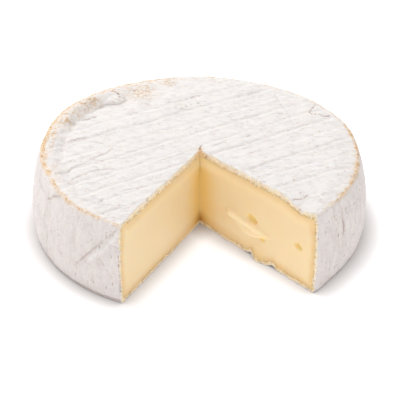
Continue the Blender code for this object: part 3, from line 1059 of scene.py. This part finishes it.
def worn_colour(look, colour):
    """The colour with blots of tan and orange at the rim and in patches, white ridges and brown cracks."""
    blot = look.grain(1.2, 4.0, 0.65)
    tan, patches, brown = (look.mark(name) for name in ("tan", "patches", "brown"))
    return look.coats(
        colour,
        (tan, look.step(blot, 0.34, 0.46), RIND_TAN),
        (look.times(patches, look.step(blot, 0.42, 0.54)), 0.8, RIND_TAN),
        (look.times(look.calculate("MAXIMUM", tan, patches), look.step(blot, 0.51, 0.6)), 0.85, RIND_ORANGE),
        (look.step(brown, 0.0, -1.0), 0.9, RIND_WHITE),
        (look.step(brown, 0.0, 1.0), 0.85, RIND_BROWN),
    )


def cut_colour(look):
    """Beige and pink where the rind is cut, amber next to the paste, dotted orange."""
    deep = look.mark("deep")
    return look.coats(
        CUT_BEIGE,
        (look.flecks(0.5, 0.62, 2.0, 3.0, 0.6), 0.7, CUT_PINK),
        (look.step(deep, 0.3, 1.0), 0.9, CUT_AMBER),
        (look.flecks(0.52, 0.62, 1.1, 3.0, 0.6), look.step(deep, 0.2, 0.9, 0.1, 0.6), RIND_ORANGE),
    )


def rind_finish():
    """Chalky white mould over wrinkles, worn at the rim, with its own look where it is cut."""
    look = Look("rind white mould")
    along = {"Rotation": (0.0, 0.0, -MAT_LEAN), "Scale": (0.36, 1.0, 1.0)}
    ripple = look.grain(1.7, 5.0, 0.62, along)
    off_middle = look.calculate("ABSOLUTE", look.calculate("SUBTRACT", ripple, 0.5))
    patchy = look.step(look.grain(5.0, 2.0), 0.4, 0.6, 0.25, 1.0)
    # Thin patchy lines where the ripple crosses its middle: painted in shade, and pressed in by the bump
    # below
    shaded_wrinkle = look.times(look.step(off_middle, 0.05, 0.0), patchy)
    colour = worn_colour(look, mould_colour(look, look.mark("side"), along, shaded_wrinkle))
    colour = look.blend(look.mark("cut"), colour, cut_colour(look))
    relief = look.calculate("SUBTRACT", look.times(ripple, 2.5), look.times(shaded_wrinkle, 0.6))
    rough = look.bump(relief, 0.3, 0.55)
    fine = look.bump(look.grain(0.6, 3.0, 0.7), 0.3, 0.7, over=rough)
    return look.finish(
        Base_Color=colour,
        Roughness=0.9,
        Specular_IOR_Level=0.2,
        Subsurface_Weight=0.2,
        Subsurface_Radius=(1.0, 0.8, 0.6),
        Subsurface_Scale=0.0008,
        Normal=fine,
    )


def paste_finish():
    """Soft paste: creamy, faintly moist, letting light in, amber under the rind and above the base near the
    axis, with painted shade in the inner corner, at its foot and in the holes, and painted highlights under
    the rind and on the tear.
    """
    look = Look("paste cream")
    mottle = look.times(look.flecks(0.35, 0.7, 9.0, 3.0), 0.12)
    pale = look.mark("pale")
    colour = look.coats(
        PASTE_CREAM,
        (look.calculate("MAXIMUM", look.mark("amber"), mottle), 1.0, PASTE_AMBER),
        # Painted shade in the inner corner and at its foot, painted highlights under the rind and on the
        # tear, painted shade in the holes
        (look.mark("inner"), 0.7, PASTE_CORNER_SHADE),
        (look.mark("glow"), 0.85, PASTE_HIGHLIGHT),
        (look.mark("low"), 0.8, PASTE_CORNER_FOOT_SHADE),
        (look.step(pale, 0.0, 1.0), 0.7, PASTE_TEAR_HIGHLIGHT),
        (look.step(pale, 0.0, -1.0), 0.9, PASTE_PIT_SHADE),
    )
    soft = look.bump(look.grain(2.5, 3.0), 0.06)
    return look.finish(
        Base_Color=colour,
        Roughness=0.42,
        Specular_IOR_Level=0.35,
        Subsurface_Weight=0.8,
        Subsurface_Radius=(1.0, 0.75, 0.4),
        Subsurface_Scale=0.0018,
        Normal=soft,
    )


# The floor: its colour, its own light, and how that light is shaded beside the cheese
WHITE = (1.0, 1.0, 1.0, 1.0)
FLOOR_BASE = (0.43, 0.41, 0.405, 1.0)
FLOOR_GLOW = 0.8
FLOOR_SHADE = (1.0, 0.93, 0.9, 1.0)
FLOOR_SHADE_REACH = 10.0
FLOOR_SHADE_POWER = 1.5
FLOOR_REACH = 4.0
FLOOR_DROP = -0.05 * MM


def floor_finish():
    """A white sheet that is lit from below as well, less so right beside the cheese."""
    look = Look("floor white")
    openness = look.add("ShaderNodeAmbientOcclusion", {"Distance": FLOOR_SHADE_REACH * MM}).outputs["AO"]
    return look.finish(
        Base_Color=FLOOR_BASE,
        Roughness=0.8,
        Specular_IOR_Level=0.1,
        Emission_Color=look.blend(openness, FLOOR_SHADE, WHITE),
        Emission_Strength=look.times(look.calculate("POWER", openness, FLOOR_SHADE_POWER), FLOOR_GLOW),
    )


def make_floor():
    """A wide level sheet, just under the base."""
    mesh = bpy.data.meshes.new("floor")
    ways = ((-1, -1), (1, -1), (1, 1), (-1, 1))
    corners = [(x * FLOOR_REACH, y * FLOOR_REACH, FLOOR_DROP) for x, y in ways]
    mesh.from_pydata(corners, [], [(0, 1, 2, 3)])
    mesh.materials.append(floor_finish())
    floor = add_object("floor", mesh)


# The even sky, then each square lamp: how strong, how wide and where, in watts and metres
SKY_STRENGTH = 0.8
KEY_STRENGTH = 8.7
KEY_SIZE = 0.7
KEY_PLACE = Vector((-0.52, 0.62, 1.1))
FILL_STRENGTH = 0.8
FILL_SIZE = 0.8
FILL_PLACE = Vector((-0.5, -1.15, 0.6))


def add_light(name, place, size, strength):
    """A square soft light that looks at the cheese."""
    light = bpy.data.lights.new(name, "AREA")
    light.shape = "SQUARE"
    light.size = size
    light.energy = strength
    lamp = add_object(name, light)
    lamp.location = place
    lamp.rotation_euler = (-place).to_track_quat("-Z", "Y").to_euler()


def make_light():
    """An even white sky, one large soft light from the back left and a weak one from the front left."""
    world = bpy.data.worlds.new("studio")
    world.use_nodes = True
    sky = world.node_tree.nodes["Background"]
    sky.inputs["Color"].default_value = WHITE
    sky.inputs["Strength"].default_value = SKY_STRENGTH
    bpy.context.scene.world = world
    add_light("key", KEY_PLACE, KEY_SIZE, KEY_STRENGTH)
    add_light("fill", FILL_PLACE, FILL_SIZE, FILL_STRENGTH)
    bpy.context.scene.view_settings.view_transform = "Standard"


# The camera looks down on the cheese from far off. Aside and raised shift it across its view
CAMERA_ELEVATION = math.radians(31.93)
CAMERA_DISTANCE = 1.0477
CAMERA_ASIDE = 0.0001
CAMERA_RAISED = 0.0095
CAMERA_LENS = 230.0
CAMERA_SENSOR = 36.0


def make_camera():
    """Stands back along the line of sight, then moves up so that the cheese sits low in the frame."""
    back = Vector((0.0, -math.cos(CAMERA_ELEVATION), math.sin(CAMERA_ELEVATION)))
    upward = Vector((0.0, math.sin(CAMERA_ELEVATION), math.cos(CAMERA_ELEVATION)))
    lens = bpy.data.cameras.new("camera")
    lens.sensor_width = CAMERA_SENSOR
    lens.lens = CAMERA_LENS
    lens.clip_start = 0.01
    lens.clip_end = 20.0
    camera = add_object("camera", lens)
    foot = Vector(AXIS * MM)
    camera.location = foot + back * CAMERA_DISTANCE + upward * CAMERA_RAISED + Vector((CAMERA_ASIDE, 0, 0))
    camera.rotation_euler = (math.pi / 2 - CAMERA_ELEVATION, 0.0, 0.0)
    bpy.context.scene.camera = camera


rind = make_rind(rind_finish())
paste = make_paste(paste_finish())
make_crumbs(rind.data.materials[0])
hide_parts("cheese")
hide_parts("cheese")
make_floor()
make_light()
make_camera()
